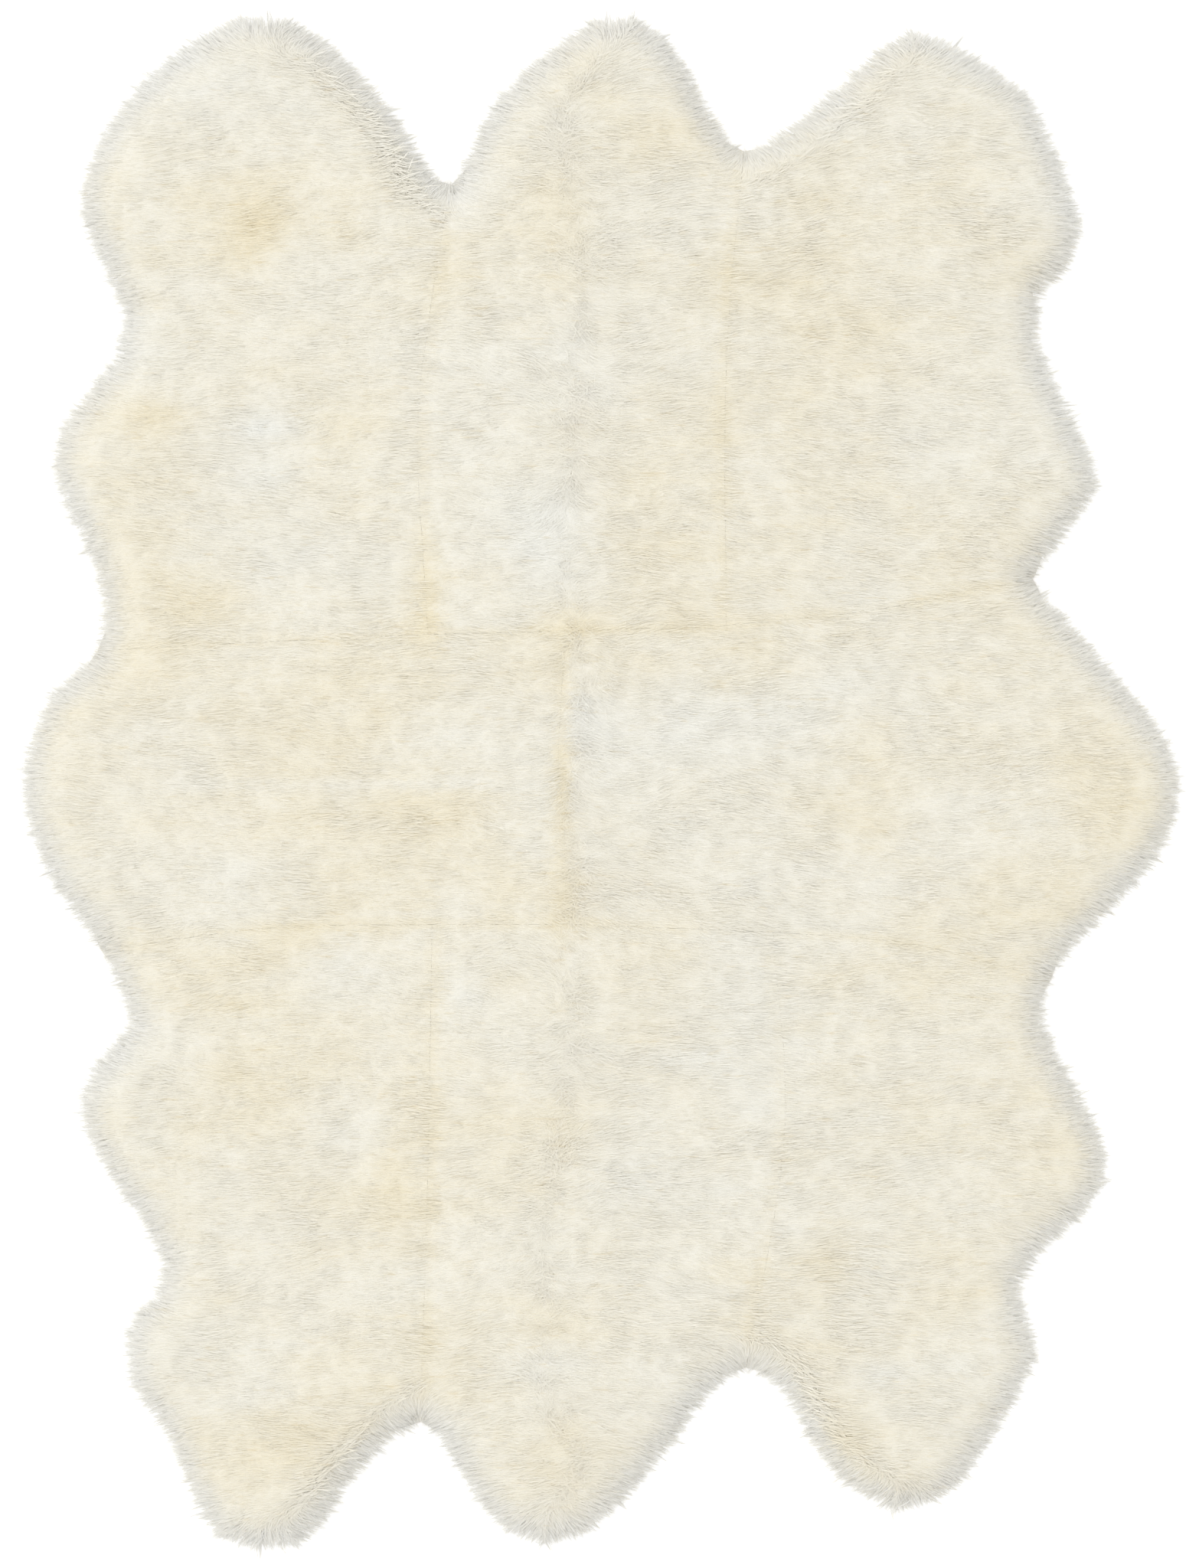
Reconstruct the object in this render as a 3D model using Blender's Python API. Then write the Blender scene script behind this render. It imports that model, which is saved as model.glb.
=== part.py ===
"""Sheepskin rug: eight pelts sewn edge to edge, lying flat with the wool side up.

Units are metres and +Z is up. The rug lies on the XY plane with its length along Y.
The origin is on the underside, at the middle of the rug's bounding rectangle.
Three pelts stand upright in the top row with their necks at +Y, two lie sideways in the
middle row with their rumps at -X and +X, and three point down the bottom row with their
rumps at -Y. Each pelt is one closed solid: its hide, and the wool that stands on it.
"""

import math
from collections import namedtuple

import bmesh
import bpy
from mathutils import Vector

# Driving dimensions
RUG_WIDTH = 1.815  # along X, over the wool tips
RUG_LENGTH = 2.400  # along Y, over the wool tips
WOOL_HEIGHT = 0.056  # top of the brushed wool above the floor
TIP_HEIGHT = 0.009  # thickness of the last wool tips, where they droop to the floor
CROWN_REACH = 0.085  # how far in from a free edge the wool takes to reach its full height
PARTING_DEPTH = 0.012  # how far the wool dips where two pelts are sewn together
PARTING_WIDTH = 0.040  # half width of that dip
SWELL_HEIGHT = 0.0025  # rise and fall of the brushed surface
SWELL_LENGTH = 0.34  # distance from one swell to the next
PIECE_GAP = 0.0003  # clearance between two sewn pelts

# How finely the edges are divided
STEPS_PER_LANDMARK = 10  # points of a smooth edge between two landmarks, before division
END_CROWDING = 0.45  # 0 spaces the divisions evenly, nearer 1 crowds them at both ends
ACROSS = 14  # divisions across an upright pelt
HALF_ACROSS = 7  # divisions across half an upright pelt
ALONG = 18  # divisions along an upright pelt
BAND = 16  # divisions across the middle row, between the two row seams

Landmark = namedtuple("Landmark", "place x y")
Seam = namedtuple("Seam", "name start end divisions landmarks")
FreeEdge = namedtuple("FreeEdge", "names start end divisions landmarks")
Pelt = namedtuple("Pelt", "name near left far right colour")

# Where edges meet: at the row seams' ends, at the seams' crossings and at the notches
MEETINGS = {
    "waist_upper_left": (-0.788, 0.203),
    "waist_lower_left": (-0.782, -0.263),
    "waist_upper_right": (0.672, 0.315),
    "waist_lower_right": (0.700, -0.308),
    "neck_notch_left": (-0.235, 0.930),
    "neck_notch_right": (0.220, 0.982),
    "rump_notch_left": (-0.283, -0.997),
    "rump_notch_right": (0.224, -0.913),
    "upper_row_left": (-0.271, 0.228),
    "upper_row_middle": (-0.058, 0.233),
    "upper_row_right": (0.192, 0.242),
    "lower_row_left": (-0.265, -0.221),
    "lower_row_middle": (-0.052, -0.221),
    "lower_row_right": (0.265, -0.233),
}

SEAMS = (
    Seam("upper_row_1", "waist_upper_left", "upper_row_left", ACROSS,
         (Landmark("shallow dip", -0.533, 0.216),)),
    Seam("upper_row_2", "upper_row_left", "upper_row_middle", HALF_ACROSS, ()),
    Seam("upper_row_3", "upper_row_middle", "upper_row_right", HALF_ACROSS, ()),
    Seam("upper_row_4", "upper_row_right", "waist_upper_right", ACROSS,
         (Landmark("rise to the waist", 0.430, 0.267),)),
    Seam("lower_row_1", "waist_lower_left", "lower_row_left", ACROSS,
         (Landmark("shallow rise", -0.521, -0.227),)),
    Seam("lower_row_2", "lower_row_left", "lower_row_middle", HALF_ACROSS, ()),
    Seam("lower_row_3", "lower_row_middle", "lower_row_right", HALF_ACROSS, ()),
    Seam("lower_row_4", "lower_row_right", "waist_lower_right", ACROSS,
         (Landmark("fall to the waist", 0.478, -0.251),)),
    Seam("top_left_seam", "upper_row_left", "neck_notch_left", ALONG,
         (Landmark("belly", -0.287, 0.535), Landmark("neck", -0.267, 0.730))),
    Seam("top_right_seam", "upper_row_right", "neck_notch_right", ALONG,
         (Landmark("belly", 0.192, 0.645),)),
    Seam("middle_seam", "lower_row_middle", "upper_row_middle", BAND,
         (Landmark("bow right", -0.033, -0.123), Landmark("bow left", -0.068, -0.001))),
    Seam("bottom_left_seam", "lower_row_left", "rump_notch_left", ALONG,
         (Landmark("belly", -0.271, -0.611),)),
    Seam("bottom_right_seam", "lower_row_right", "rump_notch_right", ALONG,
         (Landmark("belly", 0.283, -0.538),)),
)

# A free edge with two names is divided at its landmark "turn", from flank to neck or rump
FREE_EDGES = (
    FreeEdge(("top_left_flank", "top_left_neck"),
             "waist_upper_left", "neck_notch_left", (ALONG, ACROSS), (
        Landmark("flank", -0.783, 0.280),
        Landmark("hind leg", -0.803, 0.350),
        Landmark("hind leg", -0.845, 0.431),
        Landmark("hind leg tip", -0.863, 0.490),
        Landmark("hind leg", -0.842, 0.562),
        Landmark("waist", -0.757, 0.672),
        Landmark("waist", -0.752, 0.735),
        Landmark("foreleg", -0.789, 0.812),
        Landmark("foreleg tip", -0.818, 0.900),
        Landmark("turn", -0.786, 1.005),
        Landmark("shoulder", -0.716, 1.093),
        Landmark("neck", -0.650, 1.150),
        Landmark("nape", -0.545, 1.198),
        Landmark("neck", -0.448, 1.171),
        Landmark("shoulder", -0.335, 1.060),
        Landmark("notch", -0.262, 0.948),
    )),
    FreeEdge(("top_middle_neck",),
             "neck_notch_left", "neck_notch_right", (ACROSS,), (
        Landmark("shoulder", -0.212, 0.978),
        Landmark("neck", -0.180, 1.045),
        Landmark("neck", -0.131, 1.103),
        Landmark("neck", -0.025, 1.183),
        Landmark("nape", 0.040, 1.198),
        Landmark("neck", 0.115, 1.147),
        Landmark("shoulder", 0.185, 1.022),
    )),
    FreeEdge(("top_right_neck", "top_right_flank"),
             "neck_notch_right", "waist_upper_right", (ACROSS, ALONG), (
        Landmark("shoulder", 0.265, 1.006),
        Landmark("neck", 0.350, 1.072),
        Landmark("neck", 0.450, 1.160),
        Landmark("nape", 0.495, 1.171),
        Landmark("neck", 0.560, 1.144),
        Landmark("turn", 0.663, 1.074),
        Landmark("shoulder", 0.695, 1.015),
        Landmark("foreleg", 0.738, 0.915),
        Landmark("foreleg tip", 0.752, 0.868),
        Landmark("foreleg", 0.733, 0.803),
        Landmark("waist", 0.678, 0.738),
        Landmark("belly", 0.703, 0.640),
        Landmark("hind leg", 0.770, 0.500),
        Landmark("hind leg tip", 0.777, 0.458),
        Landmark("flank", 0.705, 0.356),
    )),
    FreeEdge(("middle_left_rump",),
             "waist_lower_left", "waist_upper_left", (BAND,), (
        Landmark("hind leg", -0.835, -0.197),
        Landmark("hind leg", -0.878, -0.125),
        Landmark("tail", -0.909, -0.003),
        Landmark("hind leg", -0.878, 0.112),
        Landmark("hind leg", -0.838, 0.163),
    )),
    FreeEdge(("middle_right_rump",),
             "waist_lower_right", "waist_upper_right", (BAND,), (
        Landmark("hind leg", 0.740, -0.258),
        Landmark("hind leg", 0.858, -0.133),
        Landmark("rump", 0.893, -0.075),
        Landmark("tail", 0.907, -0.005),
        Landmark("rump", 0.880, 0.073),
        Landmark("hind leg", 0.820, 0.149),
        Landmark("flank", 0.712, 0.273),
    )),
    FreeEdge(("bottom_left_flank", "bottom_left_rump"),
             "waist_lower_left", "rump_notch_left", (ALONG, ACROSS), (
        Landmark("neck", -0.748, -0.350),
        Landmark("neck", -0.745, -0.388),
        Landmark("shoulder", -0.797, -0.440),
        Landmark("foreleg tip", -0.820, -0.503),
        Landmark("foreleg", -0.802, -0.568),
        Landmark("belly", -0.745, -0.652),
        Landmark("waist", -0.692, -0.733),
        Landmark("waist", -0.697, -0.790),
        Landmark("hind leg", -0.742, -0.842),
        Landmark("turn", -0.738, -0.938),
        Landmark("hind leg", -0.685, -1.013),
        Landmark("rump", -0.610, -1.173),
        Landmark("tail", -0.527, -1.199),
        Landmark("rump", -0.450, -1.180),
        Landmark("hind leg", -0.398, -1.104),
        Landmark("hind leg", -0.345, -1.042),
    )),
    FreeEdge(("bottom_middle_rump",),
             "rump_notch_left", "rump_notch_right", (ACROSS,), (
        Landmark("hind leg", -0.253, -1.031),
        Landmark("hind leg", -0.216, -1.092),
        Landmark("rump", -0.175, -1.150),
        Landmark("tail", -0.105, -1.190),
        Landmark("rump", -0.010, -1.165),
        Landmark("hind leg", 0.105, -1.040),
        Landmark("hind leg", 0.165, -0.957),
    )),
    FreeEdge(("bottom_right_rump", "bottom_right_flank"),
             "rump_notch_right", "waist_lower_right", (ACROSS, ALONG), (
        Landmark("hind leg", 0.272, -0.946),
        Landmark("hind leg", 0.318, -1.024),
        Landmark("rump", 0.367, -1.088),
        Landmark("tail", 0.450, -1.138),
        Landmark("rump", 0.530, -1.118),
        Landmark("hind leg", 0.590, -1.055),
        Landmark("turn", 0.672, -0.915),
        Landmark("hind leg tip", 0.680, -0.870),
        Landmark("waist", 0.655, -0.785),
        Landmark("belly", 0.690, -0.730),
        Landmark("belly", 0.757, -0.668),
        Landmark("foreleg tip", 0.792, -0.583),
        Landmark("shoulder", 0.710, -0.414),
        Landmark("neck", 0.693, -0.358),
    )),
)

# A pelt's four sides: near and left leave one corner, far starts where left ends, and right
# runs from near's end to far's end. The colour is that of its wool.
PELTS = (
    Pelt("pelt_top_left", ("upper_row_1",), ("top_left_flank",), ("top_left_neck",),
         ("top_left_seam",), (0.83, 0.78, 0.66)),
    Pelt("pelt_top_middle", ("upper_row_2", "upper_row_3"), ("top_left_seam",),
         ("top_middle_neck",), ("top_right_seam",), (0.84, 0.80, 0.68)),
    Pelt("pelt_top_right", ("upper_row_4",), ("top_right_seam",), ("top_right_neck",),
         ("top_right_flank",), (0.80, 0.76, 0.65)),
    Pelt("pelt_middle_left", ("lower_row_1", "lower_row_2"), ("middle_left_rump",),
         ("upper_row_1", "upper_row_2"), ("middle_seam",), (0.86, 0.81, 0.66)),
    Pelt("pelt_middle_right", ("lower_row_3", "lower_row_4"), ("middle_seam",),
         ("upper_row_3", "upper_row_4"), ("middle_right_rump",), (0.81, 0.78, 0.68)),
    Pelt("pelt_bottom_left", ("lower_row_1",), ("bottom_left_flank",),
         ("bottom_left_rump",), ("bottom_left_seam",), (0.84, 0.79, 0.66)),
    Pelt("pelt_bottom_middle", ("lower_row_2", "lower_row_3"), ("bottom_left_seam",),
         ("bottom_middle_rump",), ("bottom_right_seam",), (0.85, 0.81, 0.68)),
    Pelt("pelt_bottom_right", ("lower_row_4",), ("bottom_right_seam",),
         ("bottom_right_rump",), ("bottom_right_flank",), (0.82, 0.78, 0.67)),
)


def clear_scene():
    """Remove whatever the file already holds."""
    for old in list(bpy.data.objects):
        bpy.data.objects.remove(old, do_unlink=True)


def smooth_path(points):
    """A smooth curve through the points, with STEPS_PER_LANDMARK points to each span."""
    first = points[0] * 2 - points[1]
    last = points[-1] * 2 - points[-2]
    guided = [first, *points, last]
    path = [points[0]]
    for a, b, c, d in zip(guided, guided[1:], guided[2:], guided[3:]):
        for step in range(1, STEPS_PER_LANDMARK + 1):
            t = step / STEPS_PER_LANDMARK
            bend = (c - a) * t + (a * 2 - b * 5 + c * 4 - d) * t**2
            path.append(b + (bend + (b * 3 - a - c * 3 + d) * t**3) / 2)
    return path


def lengths_along(path):
    """The distance from the start of a path to each of its points."""
    lengths = [0.0]
    for start, end in zip(path, path[1:]):
        lengths.append(lengths[-1] + (end - start).length)
    return lengths


def divide(path, divisions):
    """The path as a few straight runs, shorter towards both of its ends."""
    lengths = lengths_along(path)
    points = []
    span = 0
    for step in range(divisions + 1):
        t = step / divisions
        share = t - END_CROWDING * math.sin(2 * math.pi * t) / (2 * math.pi)
        wanted = share * lengths[-1]
        while span < len(path) - 2 and lengths[span + 1] < wanted:
            span += 1
        run = lengths[span + 1] - lengths[span]
        points.append(path[span].lerp(path[span + 1], (wanted - lengths[span]) / run))
    return points


def draw_edges():
    """Every seam and free edge by name, as divided points, before the rug is sized."""
    meetings = {name: Vector(place) for name, place in MEETINGS.items()}
    seams = {}
    for seam in SEAMS:
        between = [Vector((mark.x, mark.y)) for mark in seam.landmarks]
        path = smooth_path([meetings[seam.start], *between, meetings[seam.end]])
        seams[seam.name] = divide(path, seam.divisions)
    free = {}
    for edge in FREE_EDGES:
        between = [Vector((mark.x, mark.y)) for mark in edge.landmarks]
        path = smooth_path([meetings[edge.start], *between, meetings[edge.end]])
        places = [mark.place for mark in edge.landmarks]
        turns = [(places.index("turn") + 1) * STEPS_PER_LANDMARK] if "turn" in places else []
        cuts = [0, *turns, len(path) - 1]
        for name, count, start, end in zip(edge.names, edge.divisions, cuts, cuts[1:]):
            free[name] = divide(path[start:end + 1], count)
    return seams, free


def fit_to_size(seams, free):
    """Stretch all edges to the rug's named width and length, centred on the origin."""
    outline = [point for path in free.values() for point in path]
    low = Vector((min(p.x for p in outline), min(p.y for p in outline)))
    high = Vector((max(p.x for p in outline), max(p.y for p in outline)))
    middle = (low + high) / 2
    scale = Vector((RUG_WIDTH / (high.x - low.x), RUG_LENGTH / (high.y - low.y)))
    for paths in (seams, free):
        for name, path in paths.items():
            paths[name] = [(point - middle) * scale for point in path]


def joined(names, edges, start):
    """The named edges end to end, each turned round where needed, from a starting point."""
    path = [start]
    for name in names:
        run = edges[name]
        if (run[-1] - path[-1]).length < (run[0] - path[-1]).length:
            run = run[::-1]
        path.extend(run[1:])
    return path


def drawn_in(loop, distance):
    """A closed loop of points, each moved inwards so that every edge moves by a distance."""
    area = sum(a.cross(b) for a, b in zip(loop, loop[1:] + loop[:1]))
    side = math.copysign(1.0, area)
    moved = []
    for before, here, after in zip(loop[-1:] + loop[:-1], loop, loop[1:] + loop[:1]):
        coming = (here - before).normalized()
        going = (after - here).normalized()
        square = Vector((-coming.y, coming.x)) * side
        inward = (square + Vector((-going.y, going.x)) * side).normalized()
        moved.append(here + inward * (distance / inward.dot(square)))
    return moved


def distance_to(point, paths):
    """The shortest distance from a point to any of the paths."""
    nearest = math.inf
    for path in paths:
        for start, end in zip(path, path[1:]):
            run = end - start
            t = (point - start).dot(run) / run.length_squared
            nearest = min(nearest, (start + run * min(1.0, max(0.0, t)) - point).length)
    return nearest


def four_sides(pelt, edges):
    """A pelt's near, left, far and right sides, drawn in by half the gap between pieces."""
    first = edges[pelt.near[0]]
    meeting = edges[pelt.left[0]]
    corner = min((first[0], first[-1]), key=lambda end: distance_to(end, (meeting,)))
    near = joined(pelt.near, edges, corner)
    left = joined(pelt.left, edges, corner)
    far = joined(pelt.far, edges, left[-1])
    right = joined(pelt.right, edges, near[-1])
    loop = near[:-1] + right[:-1] + far[:0:-1] + left[:0:-1]
    loop = drawn_in(loop, PIECE_GAP / 2)
    across = len(near) - 1
    along = len(left) - 1
    loop.append(loop[0])
    near = loop[:across + 1]
    right = loop[across:across + along + 1]
    far = loop[across + along:2 * across + along + 1][::-1]
    left = loop[2 * across + along:][::-1]
    return near, left, far, right


def shares(one, other):
    """How far along each pair of facing points lies, from 0 to 1, as the two sides' mean."""
    first = lengths_along(one)
    second = lengths_along(other)
    return [(a / first[-1] + b / second[-1]) / 2 for a, b in zip(first, second)]


def patch_points(near, left, far, right):
    """Rows of points that fill the four sides, each a blend of the sides that it lies between."""
    us = shares(near, far)
    vs = shares(left, right)
    rows = []
    for j, v in enumerate(vs):
        row = []
        for i, u in enumerate(us):
            between_rows = near[i].lerp(far[i], v)
            between_columns = left[j].lerp(right[j], u)
            corners = near[0].lerp(near[-1], u).lerp(far[0].lerp(far[-1], u), v)
            row.append(between_rows + between_columns - corners)
        rows.append(row)
    return rows


def wool_top(point, seams, free):
    """The height of the wool's top: round at free edges, dipping at seams, softly swelling."""
    inward = min(1.0, distance_to(point, free.values()) / CROWN_REACH)
    crown = math.sqrt(1.0 - (1.0 - inward) ** 2)
    parting = math.exp(-(distance_to(point, seams.values()) / PARTING_WIDTH) ** 2)
    turn = 2 * math.pi / SWELL_LENGTH
    swell = math.sin(turn * (point.x + 0.3 * point.y)) * math.cos(turn * (point.y - 0.2 * point.x))
    rise = WOOL_HEIGHT - SWELL_HEIGHT - TIP_HEIGHT - PARTING_DEPTH * parting + SWELL_HEIGHT * swell
    return TIP_HEIGHT + rise * crown


def fleece_material(name, colour):
    """Dull, soft, near-white wool."""
    material = bpy.data.materials.new(name)
    material.use_nodes = True
    shader = material.node_tree.nodes["Principled BSDF"]
    shader.inputs["Base Color"].default_value = (*colour, 1.0)
    shader.inputs["Roughness"].default_value = 0.95
    shader.inputs["Metallic"].default_value = 0.0
    return material


def make_pelt(pelt, seams, free, collection):
    """One pelt: a grid laid over its four sides, raised to the wool's top and closed below."""
    near, left, far, right = four_sides(pelt, {**seams, **free})
    rows = patch_points(near, left, far, right)
    across = len(near) - 1
    along = len(left) - 1
    bm = bmesh.new()
    bmesh.ops.create_grid(bm, x_segments=across, y_segments=along, size=1.0)
    for vert in bm.verts:
        i = round((vert.co.x + 1) / 2 * across)
        j = round((vert.co.y + 1) / 2 * along)
        point = rows[j][i]
        vert.co = (point.x, point.y, wool_top(point, seams, free))
    # The rim is pulled straight down to the floor, and one flat face closes it.
    rim = [edge for edge in bm.edges if edge.is_boundary]
    pulled = bmesh.ops.extrude_edge_only(bm, edges=rim)["geom"]
    for vert in (item for item in pulled if isinstance(item, bmesh.types.BMVert)):
        vert.co.z = 0.0
    hem = [item for item in pulled if isinstance(item, bmesh.types.BMEdge)]
    bmesh.ops.edgeloop_fill(bm, edges=[edge for edge in hem if edge.is_boundary])
    bmesh.ops.recalc_face_normals(bm, faces=bm.faces)
    mesh = bpy.data.meshes.new(pelt.name)
    bm.to_mesh(mesh)
    bm.free()
    mesh.shade_smooth()
    mesh.set_sharp_from_angle(angle=math.radians(40))
    mesh.materials.append(fleece_material("fleece_" + pelt.name, pelt.colour))
    body = bpy.data.objects.new(pelt.name, mesh)
    collection.objects.link(body)


def main():
    clear_scene()
    collection = bpy.data.collections.new("sheepskin_rug")
    bpy.context.scene.collection.children.link(collection)
    seams, free = draw_edges()
    fit_to_size(seams, free)
    for pelt in PELTS:
        make_pelt(pelt, seams, free, collection)


main()
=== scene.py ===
# %% [markdown]
# # A sheepskin rug of eight pelts
# The real rug is eight tanned sheepskins, sewn edge to edge on the flesh side and laid on
# the floor with the wool up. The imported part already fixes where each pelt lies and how
# high its wool stands. This lesson grows the rug inside that frame, in the order in which
# a maker would meet it: hides, short underwool, long wool, the fringe round the outline
# and the stitches underneath. Everything is in metres, with +Z pointing up out of the wool.

import math

import bpy
import numpy as np
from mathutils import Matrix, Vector
from mathutils.geometry import delaunay_2d_cdt


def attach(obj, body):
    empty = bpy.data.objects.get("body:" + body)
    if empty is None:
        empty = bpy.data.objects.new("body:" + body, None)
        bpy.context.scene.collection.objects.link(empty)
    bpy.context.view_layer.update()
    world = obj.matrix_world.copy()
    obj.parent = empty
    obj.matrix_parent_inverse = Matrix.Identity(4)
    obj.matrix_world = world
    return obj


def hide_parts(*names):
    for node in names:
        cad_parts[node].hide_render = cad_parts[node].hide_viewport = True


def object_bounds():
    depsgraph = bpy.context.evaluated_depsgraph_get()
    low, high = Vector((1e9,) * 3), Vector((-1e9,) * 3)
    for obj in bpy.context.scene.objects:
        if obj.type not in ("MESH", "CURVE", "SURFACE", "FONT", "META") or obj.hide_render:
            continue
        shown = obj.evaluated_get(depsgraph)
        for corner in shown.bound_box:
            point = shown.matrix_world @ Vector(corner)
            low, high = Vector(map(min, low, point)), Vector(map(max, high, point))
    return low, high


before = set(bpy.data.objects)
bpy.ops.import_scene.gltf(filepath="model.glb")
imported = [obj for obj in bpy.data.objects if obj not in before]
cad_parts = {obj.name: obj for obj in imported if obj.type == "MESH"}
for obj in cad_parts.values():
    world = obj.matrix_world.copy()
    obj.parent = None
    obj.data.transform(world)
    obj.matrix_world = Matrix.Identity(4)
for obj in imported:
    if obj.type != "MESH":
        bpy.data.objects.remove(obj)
cad_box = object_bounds()
UP = np.array((0.0, 0.0, 1.0))
PELTS = sorted(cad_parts)
print("pelts:", ", ".join(PELTS))
print("rug, width, length and height in mm:", [round(1000 * v) for v in cad_box[1] - cad_box[0]])

# %% [markdown]
# ## The outline of each pelt
# Each pelt in the frame is a closed solid with a flat underside, and the rim of that
# underside is the pelt's own outline. It could be typed in again as a list of points, but
# then the wool could drift away from the solid. So it is read from the mesh: an edge that
# belongs to one flat face only is on the rim, and the rim edges make a loop.

# %% Read the outlines
FLAT_BELOW = 1e-5  # a corner lower than this is on the underside


def outline_of(node):
    """The rim of a pelt's underside, seen from above and going anticlockwise."""
    mesh = node.data
    corners = np.array([tuple(v.co) for v in mesh.vertices])
    places, place_of = np.unique(corners.round(6), axis=0, return_inverse=True)
    place_of = place_of.ravel()
    edges = set()
    for face in mesh.polygons:
        ring = [int(place_of[v]) for v in face.vertices]
        if places[ring, 2].max() < FLAT_BELOW:
            edges.update(zip(ring, ring[1:] + ring[:1]))
    follows = {b: a for a, b in edges if (b, a) not in edges}
    loop = [min(follows)]
    while follows[loop[-1]] != loop[0]:
        loop.append(follows[loop[-1]])
    return places[loop, :2]


def area_of(loop):
    x, y = loop.T
    return float(0.5 * abs(np.dot(x, np.roll(y, -1)) - np.dot(y, np.roll(x, -1))))


outlines = {name: outline_of(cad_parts[name]) for name in PELTS}
for name, loop in outlines.items():
    print(f"{name}: {len(loop)} rim points, {area_of(loop):.3f} square metres")

# %% [markdown]
# ## Which edges are sewn and which are free
# Wool behaves differently at the two kinds of edge. At a seam the wool of two neighbours
# meets in a soft parting, and at a free edge it fans out over the floor. A stretch of rim
# counts as sewn if another pelt's rim runs right beside it.

# %% Sort the rim into seams and free edges
SEWN_WITHIN = 0.003  # rims nearer than this are sewn together


def nearest_on(points, starts, ends):
    """How far each point is from the nearest stretch, that stretch's number and the spot."""
    gap = np.full(len(points), np.inf)
    which = np.zeros(len(points), int)
    spot = np.zeros_like(points)
    for number, (start, end) in enumerate(zip(starts, ends)):
        along = end - start
        share = np.clip((points - start) @ along / (along @ along), 0, 1)
        near = start + share[:, None] * along
        far = np.hypot(*(points - near).T)
        closer = far < gap
        gap[closer], which[closer], spot[closer] = far[closer], number, near[closer]
    return gap, which, spot


stretches = [
    (name, a, b)
    for name, loop in outlines.items()
    for a, b in zip(loop, np.roll(loop, -1, axis=0))
]
free, sewn = [], []
for name in PELTS:
    own = [(a, b) for pelt, a, b in stretches if pelt == name]
    others = [(pelt, a, b) for pelt, a, b in stretches if pelt != name]
    middles = np.array([(a + b) / 2 for a, b in own])
    gap, which, _ = nearest_on(middles, [o[1] for o in others], [o[2] for o in others])
    for (a, b), distance, number in zip(own, gap, which):
        if distance < SEWN_WITHIN:
            sewn.append((name, others[number][0], a, b))
        else:
            free.append((name, a, b))
free_length = sum(np.linalg.norm(b - a) for _, a, b in free)
sewn_length = sum(np.linalg.norm(b - a) for *_, a, b in sewn) / 2
print(f"free edge {free_length:.2f} m, seams {sewn_length:.2f} m")

# %% [markdown]
# ## A map of the pile
# Hundreds of thousands of strands will ask the same questions: how far in from the free
# edge am I, how near is a seam, and which way is out? Asking the outline each time would
# be slow. So the answers are worked out once on a fine grid, and a strand then reads the
# grid between its four nearest marks, just as a contour map is read.

# %% Measure the grid
GRID_STEP = 0.005
GRID_MARGIN = 0.06
grid_low = np.array(cad_box[0][:2]) - GRID_MARGIN
grid_size = np.ceil((np.array(cad_box[1][:2]) + GRID_MARGIN - grid_low) / GRID_STEP).astype(int) + 1
grid_x, grid_y = (low + GRID_STEP * np.arange(n) for low, n in zip(grid_low, grid_size))
grid_points = np.stack(np.meshgrid(grid_x, grid_y), -1).reshape(-1, 2)


def inside(points, loop):
    """Which points lie inside a loop: a line to the right crosses its rim an odd number of times."""
    odd = np.zeros(len(points), bool)
    for (ax, ay), (bx, by) in zip(loop, np.roll(loop, -1, axis=0)):
        if ay == by:
            continue
        between = (points[:, 1] < ay) != (points[:, 1] < by)
        odd ^= between & (points[:, 0] < ax + (points[:, 1] - ay) * (bx - ax) / (by - ay))
    return odd


def on_grid(values):
    return values.reshape(len(grid_y), len(grid_x), -1)


def read_grid(values, points):
    """The grid's values at any points, blended between the four nearest marks."""
    at = np.clip((points - grid_low) / GRID_STEP, 0, np.array(grid_size) - 1.001)
    column, row = np.floor(at).astype(int).T
    across, along = (at - np.floor(at)).T[:, :, None]
    lower = values[row, column] * (1 - across) + values[row, column + 1] * across
    upper = values[row + 1, column] * (1 - across) + values[row + 1, column + 1] * across
    found = lower * (1 - along) + upper * along
    return found[:, 0] if found.shape[1] == 1 else found


def smoothed(values, rounds):
    """A grid blurred a little, so that directions turn gently."""
    for _ in range(rounds):
        for axis in (0, 1):
            values = (np.roll(values, 1, axis) + 2 * values + np.roll(values, -1, axis)) / 4
    return values


def unit(vectors):
    return vectors / np.maximum(np.linalg.norm(vectors, axis=-1, keepdims=True), 1e-9)


on_rug = np.zeros(len(grid_points), bool)
for loop in outlines.values():
    on_rug |= inside(grid_points, loop)
edge_gap, _, edge_spot = nearest_on(
    grid_points, [a for _, a, _ in free], [b for *_, b in free]
)
seam_gap, _, _ = nearest_on(grid_points, [s[2] for s in sewn], [s[3] for s in sewn])
on_rug |= seam_gap < SEWN_WITHIN  # the hair's breadth between two pelts is on the rug too
side = np.where(on_rug, 1.0, -1.0)
into_map = on_grid(side * edge_gap)
seam_map = on_grid(seam_gap)
outward_map = smoothed(on_grid(unit(side[:, None] * (edge_spot - grid_points))), 3)
print(f"grid of {grid_size[0]} x {grid_size[1]} marks, {on_rug.mean():.0%} of them on the rug")

# %% [markdown]
# ## Soft unevenness
# Brushed wool is never quite even: its height, its colour and the way it lies wander over
# a few centimetres. A pattern of random numbers on a coarse lattice, blended smoothly in
# between, gives such wandering, and the lattice can be stretched to make streaks.

# %% Make a soft random pattern
LATTICE = 64
SEED_SHIFT, SEED_PLACES = 7.3, 13  # each seed also starts elsewhere on its lattice


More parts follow.
